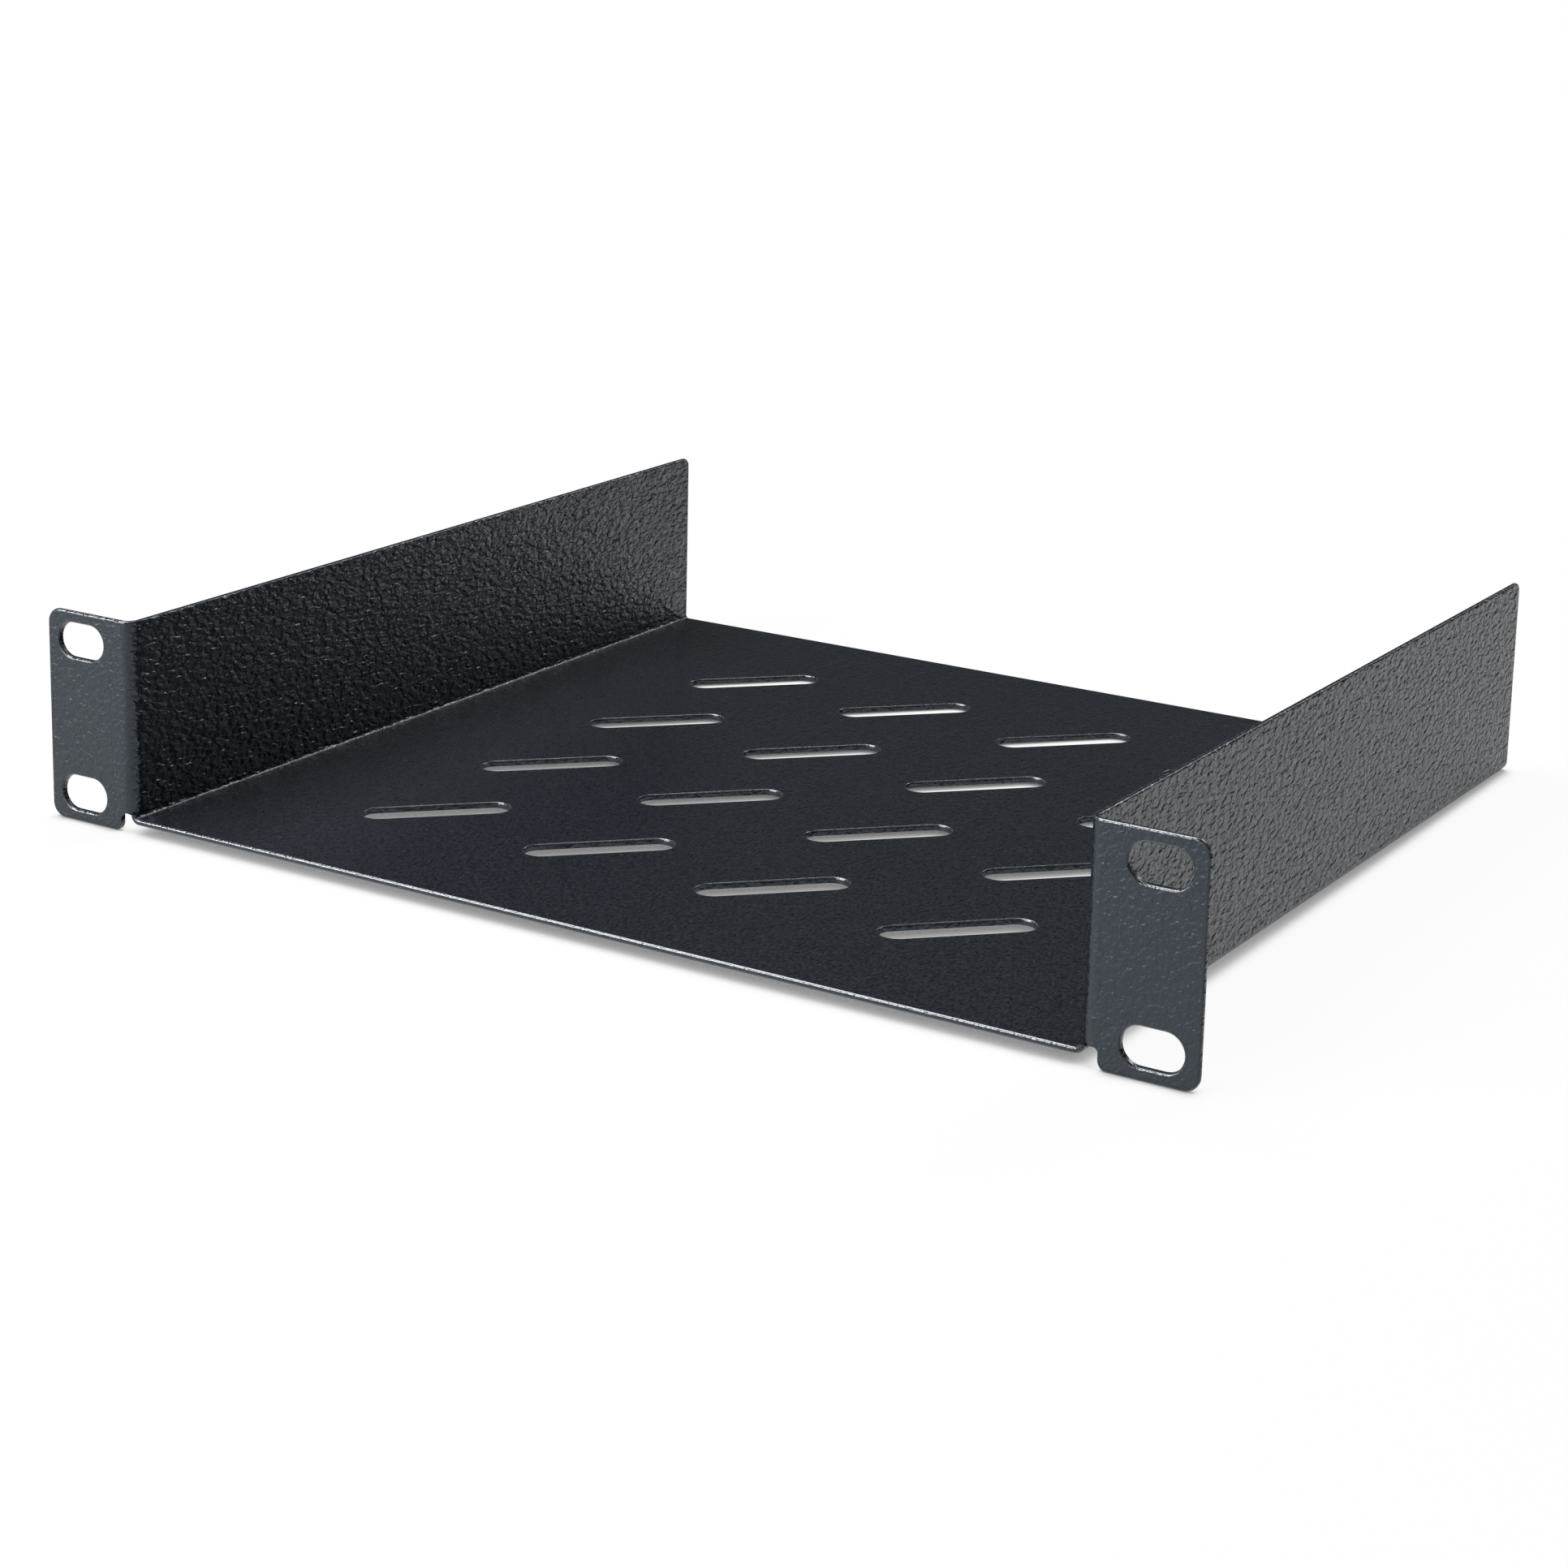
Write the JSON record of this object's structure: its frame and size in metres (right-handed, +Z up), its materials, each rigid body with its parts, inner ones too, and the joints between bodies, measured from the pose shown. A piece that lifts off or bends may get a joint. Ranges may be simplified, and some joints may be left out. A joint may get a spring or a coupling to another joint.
{
  "type": "rack shelf",
  "caption": "Folded sheet steel shelf for a ten-inch rack, one unit high, with slotted mounting ears, low side walls and a tray with slanting vent slots.",
  "frame": {"origin": "Centre of the four rack slots, on the rear faces of the two ears, which is the plane that seats on the rack's rails.", "axes": "+X to the right as the shelf is seen from the front of the rack, +Y to the rear into the rack, +Z up."},
  "size_m": [0.254, 0.2, 0.0436],
  "materials": {
    "powder_coat": "wrinkled satin powder coat"
  },
  "bodies": {
    "root": {"shelf": "powder_coat"}
  },
  "joints": []
}
